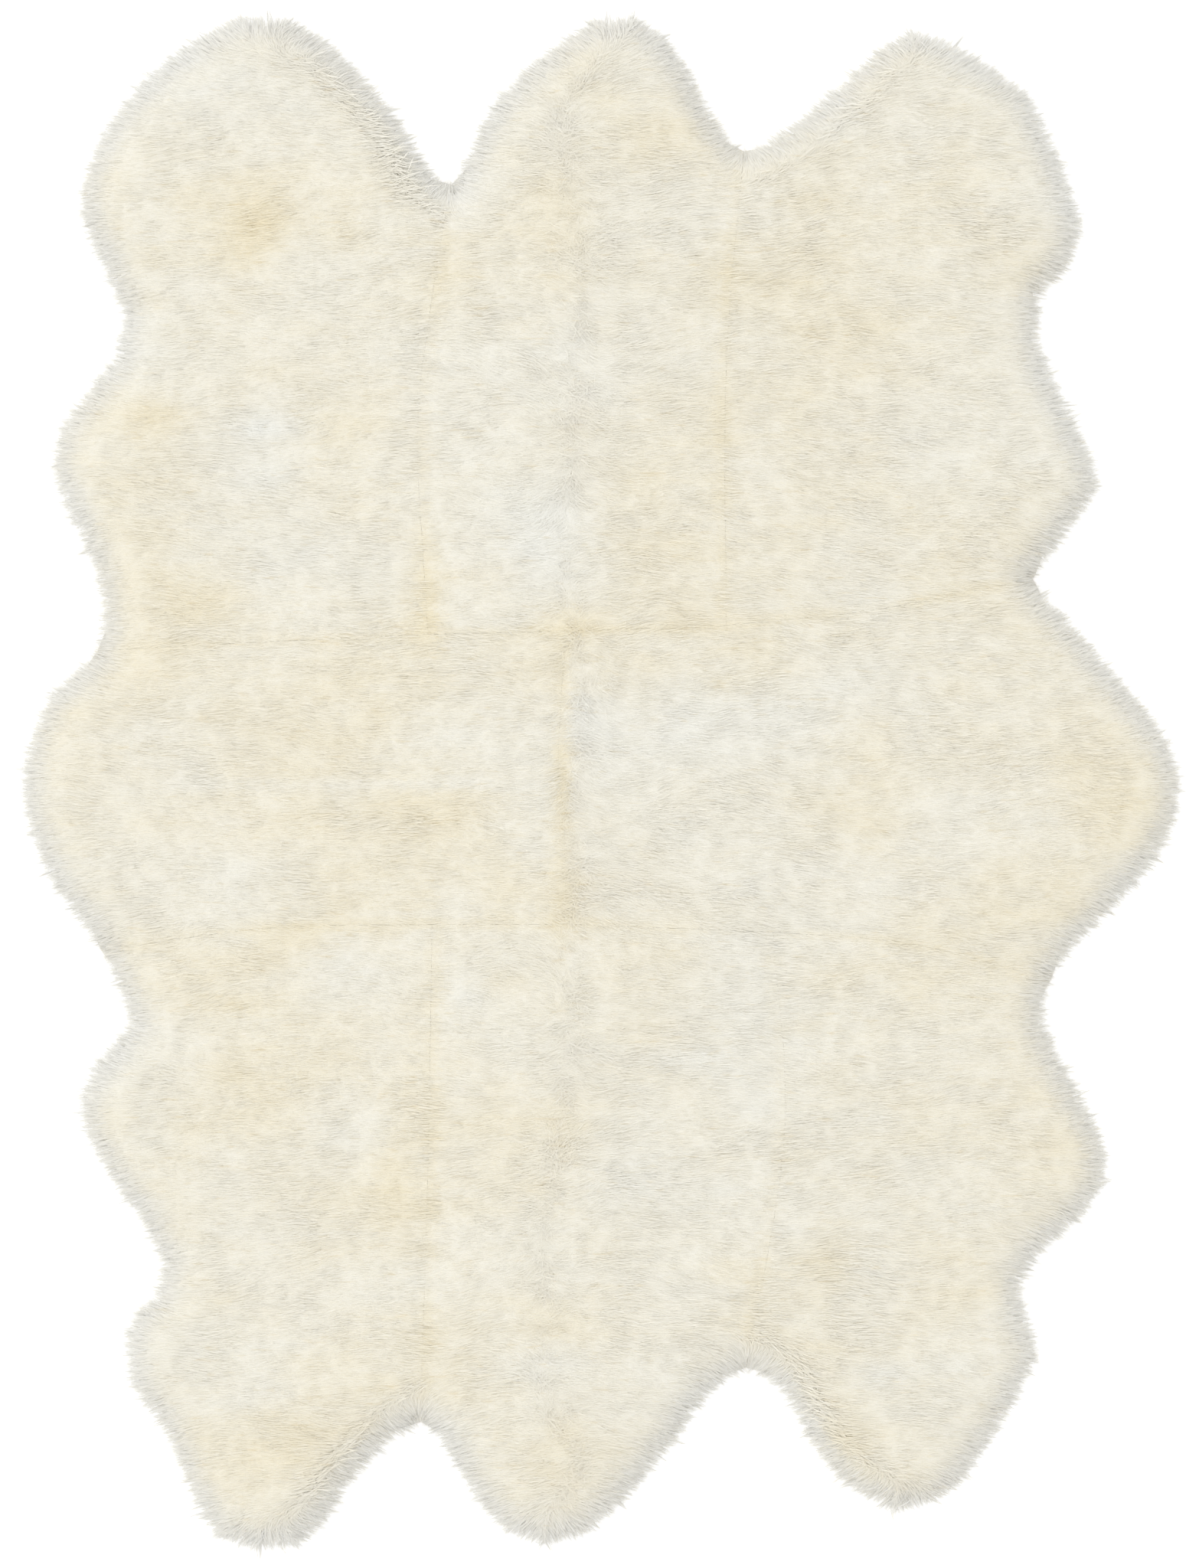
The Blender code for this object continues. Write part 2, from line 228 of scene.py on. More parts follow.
def wander(points, size, seed):
    """Smooth random values from -1 to 1 that change over about size, in metres."""
    lattice = np.random.default_rng(seed).uniform(-1, 1, (LATTICE, LATTICE))
    at = points / np.asarray(size) + SEED_SHIFT * (seed % SEED_PLACES)
    low = np.floor(at).astype(int)
    share = at - low
    share = share * share * (3 - 2 * share)
    (x, y), (u, v) = low.T % LATTICE, share.T
    x1, y1 = (x + 1) % LATTICE, (y + 1) % LATTICE
    below = lattice[y, x] * (1 - u) + lattice[y, x1] * u
    above = lattice[y1, x] * (1 - u) + lattice[y1, x1] * u
    return below * (1 - v) + above * v


trial = wander(grid_points, 0.10, 1)
print(f"a pattern of 10 cm wanders from {trial.min():.2f} to {trial.max():.2f}")

# %% [markdown]
# ## How high the wool stands
# The pile is a few centimetres deep all over. It rounds down to the floor at the free
# edges in a quarter of an ellipse, dips a little along the seams, and swells softly in
# between. The solids of the frame are shaped alike, with a deeper dip at the seams that
# brushing closes. A sculpted surface could do this too, but a formula gives the height at
# any spot, and every strand will ask for it.

# %% Work out the height of the pile
TIP_HEIGHT = 0.009  # thickness of the last tips at a free edge
CROWN_REACH = 0.085  # how far in the pile takes to reach its full height
PARTING_DEPTH = 0.0012  # brushing closes the parting over the deeper dip in the solids
PARTING_WIDTH = 0.022
LUMPS = ((0.30, 0.0020, 11), (0.100, 0.0014, 12), (0.045, 0.0006, 13))  # size, height, seed
LUMP_ROOM = 0.003  # the lumps rise into the last millimetres below the frame's top
full_height = float(cad_box[1].z) - LUMP_ROOM


def pile_height(points):
    into = np.clip(read_grid(into_map, points) / CROWN_REACH, 0, 1)
    crown = np.sqrt(np.clip(1 - (1 - into) ** 2, 0, 1))
    parting = PARTING_DEPTH * np.exp(-((read_grid(seam_map, points) / PARTING_WIDTH) ** 2))
    lumps = sum(height * wander(points, size, seed) for size, height, seed in LUMPS)
    return TIP_HEIGHT + (full_height - TIP_HEIGHT - parting + lumps) * crown


height_map = on_grid(pile_height(grid_points))
slope_y, slope_x = np.gradient(height_map[:, :, 0], GRID_STEP)
facing_map = unit(np.stack([-slope_x, -slope_y, np.ones_like(slope_x)], -1))
facing_map = smoothed(facing_map, 1)
print(f"pile up to {1000 * height_map.max():.1f} mm high")

# %% [markdown]
# ## Which way the wool lies
# Once the rug is sewn, its wool is brushed out from the middle to both sides, so it
# leans left on the left half and right on the right half, and wavers a little on the way.
# In the middle row that is also how it grows, because those pelts lie with their rumps
# outward. Near a free edge the wool turns towards the outline, though brushing keeps it
# more across than along.

# %% Comb the wool
PARTING_X = -0.055  # where the brushing to the left and to the right part
PARTING_EASE = 0.10
PARTING_SWAY = 0.03  # how far the parting strays to either side
SWAY_ACROSS = ((0.070, 0.20, 22), (0.028, 0.12, 25))  # size, share, seed
SWAY_ALONG = ((0.110, 0.20, 23), (0.035, 0.15, 24))
EDGE_TURN = 0.055  # how far in the outline still turns the wool
KEPT_UPRIGHT = 0.45  # how much of the outline's up and down direction is left by brushing


def edge_direction(points):
    out = read_grid(outward_map, points)
    return unit(out * np.array((1.0, KEPT_UPRIGHT)) + 1e-6)


def edge_share(points, reach=EDGE_TURN):
    return np.exp(-((np.maximum(read_grid(into_map, points), 0) / reach) ** 2))


def swaying(points, sways, start=0.0):
    return sum((share * wander(points, size, seed) for size, share, seed in sways), start)


def combed(points):
    """The direction in plan that the wool leans in, at each point."""
    parting = PARTING_X + PARTING_SWAY * wander(points, 0.20, 21)
    across = np.tanh((points[:, 0] - parting) / PARTING_EASE)
    flow = np.stack([swaying(points, SWAY_ACROSS, across), swaying(points, SWAY_ALONG)], -1)
    edge = edge_share(points)[:, None]
    return flow * (1 - edge) + edge_direction(points) * edge


leaning_left = combed(grid_points[on_rug])[:, 0] < 0
print(f"{leaning_left.mean():.0%} of the wool leans to the left")

# %% [markdown]
# ## Ivory, butter and milk
# The wool is undyed. It is ivory all over, with warmer butter-coloured areas where the
# grease has yellowed it and milk-white areas where long tips lie on top. Towards the free
# edges a cool grey is painted in as shade, where the wool rounds down to the floor. The
# larger areas are set by a short table, like the notes a dyer would keep, and the finer
# mottling wanders at random.

# %% Place the warm and pale areas
# x, y, half width, half length in metres, and warmth: above 0 is butter, below 0 is milk
AREAS = (
    (-0.545, 0.850, 0.060, 0.075, 0.80),
    (-0.380, 0.830, 0.080, 0.120, 0.25),
    (-0.704, 0.577, 0.050, 0.040, 0.45),
    (-0.612, 0.279, 0.090, 0.050, 0.55),
    (-0.277, 0.280, 0.030, 0.100, 0.55),
    (-0.232, 0.800, 0.040, 0.040, 0.40),
    (-0.040, 0.248, 0.050, 0.032, 0.70),
    (0.393, 0.242, 0.070, 0.030, 0.40),
    (0.330, 0.800, 0.160, 0.260, 0.25),
    (-0.068, -0.030, 0.020, 0.200, 0.65),
    (0.789, -0.038, 0.060, 0.070, 0.50),
    (-0.480, 0.060, 0.280, 0.150, 0.30),
    (-0.472, -0.062, 0.250, 0.030, 0.25),
    (-0.472, -0.245, 0.060, 0.040, 0.40),
    (-0.533, -0.489, 0.100, 0.090, 0.35),
    (-0.326, -0.611, 0.040, 0.100, 0.45),
    (0.357, -0.745, 0.050, 0.060, 0.50),
    (0.393, -1.025, 0.050, 0.055, 0.60),
    (-0.052, -0.840, 0.170, 0.040, 0.45),
    (-0.520, -1.030, 0.090, 0.080, 0.30),
    (-0.533, 0.553, 0.065, 0.022, -0.85),
    (-0.521, 0.486, 0.050, 0.030, -0.60),
    (-0.448, 0.364, 0.090, 0.050, -0.35),
    (-0.100, 0.389, 0.090, 0.070, -0.60),
    (0.000, 0.600, 0.120, 0.120, -0.25),
    (0.222, 0.110, 0.240, 0.070, -0.45),
    (-0.030, 0.100, 0.050, 0.050, -0.40),
    (-0.387, -0.002, 0.280, 0.012, -0.40),
    (-0.216, -0.331, 0.035, 0.030, -0.65),
    (0.125, -0.428, 0.070, 0.022, -0.55),
    (0.247, -0.500, 0.050, 0.040, -0.50),
    (0.060, -0.620, 0.100, 0.060, -0.35),
    (0.442, -0.922, 0.055, 0.022, -0.75),
    (-0.545, -0.952, 0.070, 0.040, -0.40),
    (-0.580, 1.095, 0.120, 0.050, -0.35),
)
MOTTLING = (((0.160, 0.120), 0.34, 31), ((0.060, 0.035), 0.16, 32), ((0.070, 0.010), 0.12, 33))
SEAM_WARMTH = 0.30
SEAM_LINE = 0.009  # half width of the warmer line along a seam


def warmth_of(points):
    """From -1, milk, past 0, ivory, to 1, butter."""
    warmth = sum(share * wander(points, size, seed) for size, share, seed in MOTTLING)
    for x, y, half_width, half_length, strength in AREAS:
        far = ((points[:, 0] - x) / half_width) ** 2 + ((points[:, 1] - y) / half_length) ** 2
        warmth = warmth + strength * np.exp(-far)
    return warmth + SEAM_WARMTH * np.exp(-((read_grid(seam_map, points) / SEAM_LINE) ** 2))


warmth_map = warmth_of(grid_points[on_rug])
print(f"{len(AREAS)} areas, warmth from {warmth_map.min():.2f} to {warmth_map.max():.2f}")

# %% [markdown]
# ## The wool's finish
# Each vertex will carry three numbers: its warmth, its share of painted cool shade near
# the rim and its lightness, which holds random tone as well as painted shade and highlight
# along the strands. The material turns them into a colour with a ramp, a mix towards the
# painted grey shade and a brightness node, and adds fine straw-coloured flecks that lie
# across the rug, as the wool does. Wool scatters light softly, so it is rough, with a
# little sheen and hardly any shine.

# %% Make the wool materials
MILK, IVORY = (0.93, 0.925, 0.875, 1), (0.93, 0.90, 0.80, 1)
BUTTER, STRAW = (0.92, 0.85, 0.66, 1), (0.78, 0.60, 0.33, 1)
# painted shade: the cool grey that the wool is mixed towards near the free edges
RIM_SHADE_GREY = (0.88, 0.89, 0.90, 1)
FLECK, FLECK_SHARE = (0.86, 0.77, 0.58, 1), 0.35
WARMTH_RANGE = (-1.0, 2.0)  # milk to straw, packed into 0 to 1
LIGHTNESS_RANGE = (0.6, 1.2)  # packed into 0 to 1 too


def new_material(name):
    material = bpy.data.materials.new(name)
    material.use_nodes = True
    tree = material.node_tree
    return material, tree, tree.nodes["Principled BSDF"]


def node(tree, kind, **settings):
    made = tree.nodes.new(kind)
    for key, value in settings.items():
        setattr(made, key, value)
    return made


def noise(tree, scale, stretch=(1, 1, 1), detail=2.0):
    """A noise fixed to the rug, drawn out along some axes."""
    place = node(tree, "ShaderNodeTexCoord")
    drawn = node(tree, "ShaderNodeMapping")
    drawn.inputs["Scale"].default_value = stretch
    pattern = node(tree, "ShaderNodeTexNoise")
    pattern.inputs["Scale"].default_value = scale
    pattern.inputs["Detail"].default_value = detail
    tree.links.new(place.outputs["Object"], drawn.inputs["Vector"])
    tree.links.new(drawn.outputs["Vector"], pattern.inputs["Vector"])
    return pattern.outputs["Fac"]


def ramp(tree, value, stops):
    made = node(tree, "ShaderNodeValToRGB")
    while len(made.color_ramp.elements) < len(stops):
        made.color_ramp.elements.new(0.5)
    for element, (place, colour) in zip(made.color_ramp.elements, stops):
        element.position, element.color = place, colour
    tree.links.new(value, made.inputs["Fac"])
    return made.outputs["Color"]


def mixed(tree, share, below, above, how="MIX"):
    """Two colours mixed; each may be a node's output or a plain colour."""
    made = node(tree, "ShaderNodeMix", data_type="RGBA", blend_type=how)
    share_at, below_at, above_at, result_at = 0, 6, 7, 2  # the node's sockets for colours
    for number, value in ((share_at, share), (below_at, below), (above_at, above)):
        socket = made.inputs[number]
        if isinstance(value, bpy.types.NodeSocket):
            tree.links.new(value, socket)
        else:
            socket.default_value = value
    return made.outputs[result_at]


def spread(tree, value, low, high, least=0.0, most=1.0):
    made = node(tree, "ShaderNodeMapRange")
    for socket, number in zip(("From Min", "From Max", "To Min", "To Max"), (low, high, least, most)):
        made.inputs[socket].default_value = number
    tree.links.new(value, made.inputs["Value"])
    return made.outputs["Result"]


def wool_material(name, crimp):
    """Undyed wool; crimp above 0 adds the fine curl of the short underwool."""
    material, tree, skin = new_material(name)
    numbers = node(tree, "ShaderNodeAttribute", attribute_name="wool")
    parts = node(tree, "ShaderNodeSeparateColor")
    tree.links.new(numbers.outputs["Color"], parts.inputs["Color"])
    third = 1 / 3
    undyed = ramp(
        tree, parts.outputs["Red"], ((0, MILK), (third, IVORY), (2 * third, BUTTER), (1, STRAW))
    )
    # the second number mixes in the painted cool shade at the rim
    rim_shaded = mixed(tree, parts.outputs["Green"], undyed, RIM_SHADE_GREY)
    flecks = spread(tree, noise(tree, 30, (1, 6, 1), 3.0), 0.62, 0.76, 0.0, FLECK_SHARE)
    flecked = mixed(tree, flecks, rim_shaded, FLECK, "MULTIPLY")
    lit = node(tree, "ShaderNodeHueSaturation")
    tree.links.new(flecked, lit.inputs["Color"])
    tree.links.new(spread(tree, parts.outputs["Blue"], 0, 1, *LIGHTNESS_RANGE), lit.inputs["Value"])
    tree.links.new(lit.outputs["Color"], skin.inputs["Base Color"])
    roughness = spread(tree, noise(tree, 60, (1, 4, 1)), 0.3, 0.7, 0.78, 0.95)
    tree.links.new(roughness, skin.inputs["Roughness"])
    skin.inputs["Specular IOR Level"].default_value = 0.15
    skin.inputs["Sheen Weight"].default_value = 0.15
    skin.inputs["Sheen Roughness"].default_value = 0.6
    if crimp:
        curl = node(tree, "ShaderNodeBump")
        curl.inputs["Strength"].default_value = crimp
        curl.inputs["Distance"].default_value = 0.002
        tree.links.new(noise(tree, 260, (1, 2.5, 1), 4.0), curl.inputs["Height"])
        tree.links.new(curl.outputs["Normal"], skin.inputs["Normal"])
    return material


wool_finish = wool_material("long_wool", 0)
underwool_finish = wool_material("underwool", 0.6)
print("wool finishes:", wool_finish.name, underwool_finish.name)

# %% [markdown]
# ## Meshes with numbers on them
# Every soft piece is made the same way: points and triangles in NumPy arrays become a
# Blender mesh, and the three wool numbers go on it as a colour attribute. The mesh rides
# on the rug's only body.

# %% A helper that makes a piece
def as_colour(warmth, rim_shade, lightness):
    """The three wool numbers, each packed into 0 to 1, and a last 1 for the alpha."""
    low, high = WARMTH_RANGE
    dark, tuft_highlight = LIGHTNESS_RANGE
    # the second number is the share of painted cool shade at the rim
    packed = [(warmth - low) / (high - low), rim_shade, (lightness - dark) / (tuft_highlight - dark)]
    whole = [np.clip(np.broadcast_to(p, np.shape(warmth)), 0, 1) for p in packed]
    return np.stack([*whole, np.ones(np.shape(warmth))], -1)


def make_piece(name, points, faces, material, colours=None):
    mesh = bpy.data.meshes.new(name)
    mesh.from_pydata(points, [], faces)
    mesh.materials.append(material)
    mesh.shade_smooth()
    if colours is not None:
        layer = mesh.attributes.new("wool", "FLOAT_COLOR", "POINT")
        layer.data.foreach_set("color", colours.astype(np.float32).ravel())
    piece = bpy.data.objects.new(name, mesh)
    bpy.context.scene.collection.objects.link(piece)
    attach(piece, "root")
    return piece


def short(name):
    return name.removeprefix("pelt_")


print("plain ivory wool, packed:", as_colour(np.zeros(1), 0, 1)[0].round(2).tolist())

# %% [markdown]
# ## Drawing a rim in
# The hide and the short underwool stop short of the outline, because only long wool
# reaches it. Their rims are the pelt's outline drawn in at the free edges, and left
# alone at the seams, where the pelts meet. The rim is first cut into short, even steps,
# and the flat area inside it is then filled with even triangles by a Delaunay fill.

# %% Rims and fills
SEAM_EASE = 0.050  # how far from a seam the full inset is reached
LEAST_LOOSENESS = 0.25  # enough to hide the rows of a fill
INSIDE_ONLY = 1  # the fill keeps the triangles inside the rim
SAME_PLACE = 1e-7  # points nearer than this are one


def even_steps(loop, step):
    """A closed loop cut into steps of about the same length, keeping its corners."""
    cut = []
    for a, b in zip(loop, np.roll(loop, -1, axis=0)):
        count = max(1, round(float(np.linalg.norm(b - a)) / step))
        cut.extend(a + (b - a) * np.arange(count)[:, None] / count)
    return np.array(cut)


def drawn_in(loop, inset):
    """The loop moved in from the free edges, and not at all at a seam."""
    ease = np.clip(read_grid(seam_map, loop) / SEAM_EASE, 0, 1)
    return loop - read_grid(outward_map, loop) * (inset * ease)[:, None]


def scattered(loop, spacing, rng, looseness=0.5):
    """Points all over the inside of a loop, about evenly spaced."""
    low, high = loop.min(0), loop.max(0)
    columns = np.arange(low[0], high[0], spacing)
    rows = np.arange(low[1], high[1], spacing * math.sqrt(3) / 2)
    points = np.stack(np.meshgrid(columns, rows), -1)
    points[1::2, :, 0] += spacing / 2
    points = points.reshape(-1, 2)
    points = points + rng.uniform(-looseness, looseness, points.shape) * spacing
    return points[inside(points, loop)]


def filled(loop, spacing, rng):
    """Points and triangles that fill a loop; the loop's own points come first."""
    inner = scattered(loop, spacing, rng, LEAST_LOOSENESS)
    gap, _, _ = nearest_on(inner, loop, np.roll(loop, -1, axis=0))
    points = np.concatenate([loop, inner[gap > spacing / 2]])
    count = len(loop)
    rim = [(i, (i + 1) % count) for i in range(count)]
    found, _, triangles, origin, _, _ = delaunay_2d_cdt(
        [Vector(p) for p in points], rim, [], INSIDE_ONLY, SAME_PLACE
    )
    found = np.array([tuple(p) for p in found])
    order = {}
    for number, sources in enumerate(origin):
        for source in sources:
            order[source] = number
    ring = [order[i] for i in range(count)]
    return found, np.array(triangles), ring


SHARP_ABOVE = math.radians(60)  # a fold sharper than this keeps a crisp edge


def slab(name, plan, triangles, ring, top, bottom, material, colours=None):
    """A closed layer: a top that follows top, a flat underside at bottom, and sides."""
    count = len(plan)
    points = np.concatenate([
        np.column_stack([plan, top]),
        np.column_stack([plan[ring], np.full(len(ring), bottom)]),
    ])
    below = list(range(count, count + len(ring)))
    faces = [tuple(int(i) for i in t) for t in triangles]
    for i in range(len(ring)):
        j = (i + 1) % len(ring)
        faces.append((ring[i], below[i], below[j], ring[j]))
    faces.append(tuple(reversed(below)))
    if colours is not None:
        colours = np.concatenate([colours, colours[ring]])
    piece = make_piece(name, points, faces, material, colours)
    piece.data.set_sharp_from_angle(angle=SHARP_ABOVE)
    return piece


print(f"a rim in steps of 1 cm: {len(even_steps(outlines[PELTS[0]], 0.01))} points")

# %% [markdown]
# ## The hides
# The tanned skin is a sheet about two and a half millimetres thick that nobody sees from
# above. It is what the maker really cuts and sews, so each hide keeps the size it was cut
# to and its area as properties. Its flesh side is buffed to a tan suede: cloudy, with a
# fine nap, which a large noise for the clouds and a small one for the nap can show.

# %% Cut the hides
THREAD_ROOM = 0.0010  # the hides lie this high, on their own stitches
HIDE_THICKNESS = 0.0024
HIDE_INSET = 0.032
HIDE_STEP = 0.026
HIDE_WAVES = 0.0003  # how uneven its upper side is
TAN_DARK, TAN, TAN_PALE = (0.56, 0.44, 0.31, 1), (0.66, 0.54, 0.40, 1), (0.74, 0.63, 0.49, 1)
NAP_SHADE, NAP_LIGHT = (0.88, 0.88, 0.88, 1), (1, 1, 1, 1)


def suede_material():
    material, tree, skin = new_material("suede_flesh_side")
    clouds = ramp(
        tree, noise(tree, 9, detail=4.0), ((0.30, TAN_DARK), (0.50, TAN), (0.72, TAN_PALE))
    )
    nap = ramp(tree, noise(tree, 420, detail=3.0), ((0.35, NAP_SHADE), (0.65, NAP_LIGHT)))
    tree.links.new(mixed(tree, 1.0, clouds, nap, "MULTIPLY"), skin.inputs["Base Color"])
    tree.links.new(spread(tree, noise(tree, 35), 0.3, 0.7, 0.82, 0.98), skin.inputs["Roughness"])
    skin.inputs["Specular IOR Level"].default_value = 0.2
    skin.inputs["Sheen Weight"].default_value = 0.3
    grain = node(tree, "ShaderNodeBump")
    grain.inputs["Strength"].default_value = 0.5
    grain.inputs["Distance"].default_value = 0.0006
    tree.links.new(noise(tree, 700, detail=3.0), grain.inputs["Height"])
    tree.links.new(grain.outputs["Normal"], skin.inputs["Normal"])
    return material


suede = suede_material()
hides = {}
for number, (name, loop) in enumerate(outlines.items()):
    rng = np.random.default_rng(100 + number)
    plan, triangles, ring = filled(drawn_in(even_steps(loop, HIDE_STEP), HIDE_INSET), HIDE_STEP, rng)
    top = THREAD_ROOM + HIDE_THICKNESS + HIDE_WAVES * wander(plan, 0.06, 41)
    hides[name] = slab(
        f"hide_{short(name)}", plan, triangles, ring, top, THREAD_ROOM, suede
    )
    hides[name]["cut_area"] = area_of(plan[ring])
    hides[name]["cut_size"] = [float(v) for v in np.ptp(plan, axis=0)]
    print(f"hide_{short(name)}: {len(triangles)} triangles, {area_of(plan[ring]):.3f} square metres")

# %% [markdown]
# ## The underwool
# Between the long strands stands short, dense, crimped wool, which nobody sees as strands.
# A lumpy surface a little below the tips shows it well and costs few triangles. It stands
# in for the pelt's plain solid, which is then not shown.

# %% Grow the underwool
UNDER_INSET = 0.017
UNDER_STEP = 0.0095
UNDER_BASE = 0.0045  # height of its rim above the floor
UNDER_CROWN = 0.050
SUNK = 0.0055  # how far it lies below the tips
CLEAR_OF_HIDE = THREAD_ROOM + HIDE_THICKNESS + 2 * HIDE_WAVES
UNDER_LUMPS = 0.0016
# painted shade: a cool grey on the underwool near the free edges
UNDER_RIM_SHADE, UNDER_RIM_SHADE_REACH = 0.50, 0.035
UNDER_WARMER, UNDER_SHADE_LIGHTNESS = 0.05, 0.95  # a touch warmer than the tips, and darker as painted shade below them

for number, (name, loop) in enumerate(outlines.items()):
    rng = np.random.default_rng(200 + number)
    plan, triangles, ring = filled(drawn_in(even_steps(loop, UNDER_STEP), UNDER_INSET), UNDER_STEP, rng)
    into = read_grid(into_map, plan)
    into = np.clip((into - UNDER_INSET) / UNDER_CROWN, 0, 1)
    crown = np.sqrt(np.clip(1 - (1 - into) ** 2, 0, 1))
    tops = read_grid(height_map, plan) - SUNK - UNDER_BASE + UNDER_LUMPS * wander(plan, 0.016, 42)
    top = UNDER_BASE + np.maximum(tops, 0) * crown
    # painted cool shade near the rim
    rim_shade = UNDER_RIM_SHADE * edge_share(plan, UNDER_RIM_SHADE_REACH)
    colours = as_colour(warmth_of(plan) + UNDER_WARMER, rim_shade, np.full(len(plan), UNDER_SHADE_LIGHTNESS))
    slab(
        f"underwool_{short(name)}", plan, triangles, ring, top, CLEAR_OF_HIDE,
        underwool_finish, colours,
    )
    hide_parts(name)
    print(f"underwool_{short(name)}: {len(triangles)} triangles, up to {1000 * top.max():.0f} mm")

# %% [markdown]
# ## One strand
# Blender's hair curves would be the usual way to make fur, but they can't leave Blender
# as a mesh. So a strand here is a thin leaf: it starts at a point, widens, bends over and
# ends in a point, with two triangles in the pile and four in the fringe. Its shading
# direction is mostly that of the pile's surface, because single leaves that caught the
# light each in its own way would look like straw and not like soft wool.

# %% Turn lists of strands into triangles
PILE_LEAF = ((0.50, 1.0),)  # where along the strand it has sides, and what share of its width
FRINGE_LEAF = ((0.34, 1.0), (0.68, 0.72))
OWN_SHARE = 0.10  # how much of its shading direction is the strand's own
SHADING_SPREAD = 0.03
PILE_LIFT, FRINGE_LIFT = 0.5, 1.6  # how far the shading direction is turned up


def leaves(root, bend, tip, width, twist, leaf):
    """Corners, triangles and facing of leaf-shaped strands that bend from root to tip."""
    along = unit(tip - root)
    left = unit(np.cross(UP, along))
    over = np.cross(along, left)
    turn = np.stack([np.cos(twist), np.sin(twist)], -1)
    across = left * turn[:, :1] + over * turn[:, 1:]
    rows = [root]
    for t, share in leaf:
        middle = (1 - t) ** 2 * root + 2 * t * (1 - t) * bend + t ** 2 * tip
        half = across * (width * share / 2)[:, None]
        rows += [middle - half, middle + half]
    corners = np.stack([*rows, tip], 1)
    each = corners.shape[1]
    pattern = [(0, 1, 2)]
    for right in range(1, each - 3, 2):
        pattern += [(right, right + 2, right + 3), (right, right + 3, right + 1)]
    pattern.append((each - 3, each - 1, each - 2))
    first = each * np.arange(len(root))[:, None, None]
    triangles = (np.array(pattern)[None] + first).reshape(-1, 3)
    return corners, triangles, over * turn[:, :1] - left * turn[:, 1:]


def joined(batches):
    """Batches of strands, as corners, triangles, facing and colours, made into one list."""
    corners, triangles, facing, colours, count = [], [], [], [], 0
    for points, faces, faced, coloured in batches:
        each = points.shape[1]
        corners.append(points.reshape(-1, 3))
        triangles.append(faces + count)
        facing.append(np.repeat(faced, each, axis=0))
        colours.append(coloured.reshape(-1, 4))
        count += len(points) * each
    return [np.concatenate(x) for x in (corners, triangles, facing, colours)]


def shaded(points, strand_facing, rng, lift=PILE_LIFT):
    """The shading direction: mostly the pile's, with a little of the strand's own."""
    pile = read_grid(facing_map, points[:, :2]) + lift * UP
    loose = rng.normal(0, SHADING_SPREAD, points.shape)
    return unit(unit(pile) * (1 - OWN_SHARE) + strand_facing * OWN_SHARE + loose)


print(f"triangles in a strand: {2 * len(PILE_LEAF)} in the pile, {2 * len(FRINGE_LEAF)} in the fringe")

# %% [markdown]
# ## Locks
# Wool strands cling together in locks, and the tips of a lock draw to one point. A coarse
# scatter of lock centres does it: each strand looks for the nearest one and moves its
# tip some of the way there.

# %% Find each strand's lock
LOCK_SIZE = (0.016, 0.009)  # locks are longer across the rug, the way the wool lies
LOCK_TABLE = 256  # rows and columns of locks before their pattern comes again


def nearest_lock(points, size, seed):
    """The centre of the lock that each point belongs to, and a random number of its own."""
    rng = np.random.default_rng(seed)
    shifts = rng.uniform(0.1, 0.9, (LOCK_TABLE, LOCK_TABLE, 2))
    numbers = rng.uniform(0, 1, (LOCK_TABLE, LOCK_TABLE))
    cell = np.floor(points / size).astype(int)
    gap = np.full(len(points), np.inf)
    centre, number = np.zeros_like(points), np.zeros(len(points))
    for dx in (-1, 0, 1):
        for dy in (-1, 0, 1):
            x, y = (cell + (dx, dy)).T
            spot = (np.stack([x, y], -1) + shifts[y % LOCK_TABLE, x % LOCK_TABLE]) * size
            far = np.hypot(*((points - spot) / size).T)
            closer = far < gap
            gap[closer], centre[closer] = far[closer], spot[closer]
            number[closer] = numbers[y % LOCK_TABLE, x % LOCK_TABLE][closer]
    return centre, number


rug_area = sum(area_of(loop) for loop in outlines.values())
print(f"about {rug_area / np.prod(LOCK_SIZE):.0f} locks on {rug_area:.2f} square metres")

# %% [markdown]
# ## The long wool
# Strands could be planted at random and grown outward, but then nobody knows where they
# end. Here each one is planned from its tip: the tip goes on the pile's surface, and the
# root is found by going back down against the lean of the wool. That keeps the pile even
# and inside its size. In the middle of a pelt the strands lean half over, and towards a
# free edge they lie down flat.

# %% Plan the strands of the pile
STRAND_SPACING = 0.00345
STRAND_LENGTH = 0.042
STRAND_WIDTH = 0.0014
LEAN_MIDDLE, LEAN_EDGE, LEAN_WANDER = (math.radians(a) for a in (56, 80, 6))
LOCK_PULL = 0.30  # a tip moves at most this share of the way to its lock's centre
DIRECTION_SPREAD, LEAN_SPREAD, LENGTH_SPREAD = 0.10, 0.08, 0.12
TIP_SUNK, TIP_SPREAD, LOCK_RISE = 0.0004, 0.0007, 0.0008  # tips end near the pile's height
LOWEST_TIP, LOWEST_ROOT, ROOT_SPREAD = 0.003, 0.0045, 0.004
BEND_RUN, BEND_RISE, BEND_EXTRA = 0.25, 0.8, 0.002  # shares of its run and rise, and a bit
WIDTHS = (0.7, 1.3)
TWIST_SPREAD = 0.35
WARMTH_SPREAD, LOCK_WARMTH = 0.06, 0.08
# painted cool shade on the strands near the free edges
PILE_RIM_SHADE, PILE_RIM_SHADE_REACH, RIM_SHADE_SPREAD = 0.45, 0.032, 0.03
LIGHT_SPREAD, LOCK_LIGHT, STREAK_LIGHT = 0.008, 0.010, 0.012
PILE_SHADE_ROOT_TO_TIP = (0.98, 1.0, 1.0, 1.01)  # painted lightness at the root, the two sides and the tip: painted shade at the root, deep in the pile


def turned(directions, angles):
    """Directions in plan, each turned by an angle."""
    c, s = np.cos(angles), np.sin(angles)
    return np.stack(
        [directions[:, 0] * c - directions[:, 1] * s, directions[:, 0] * s + directions[:, 1] * c], -1
    )


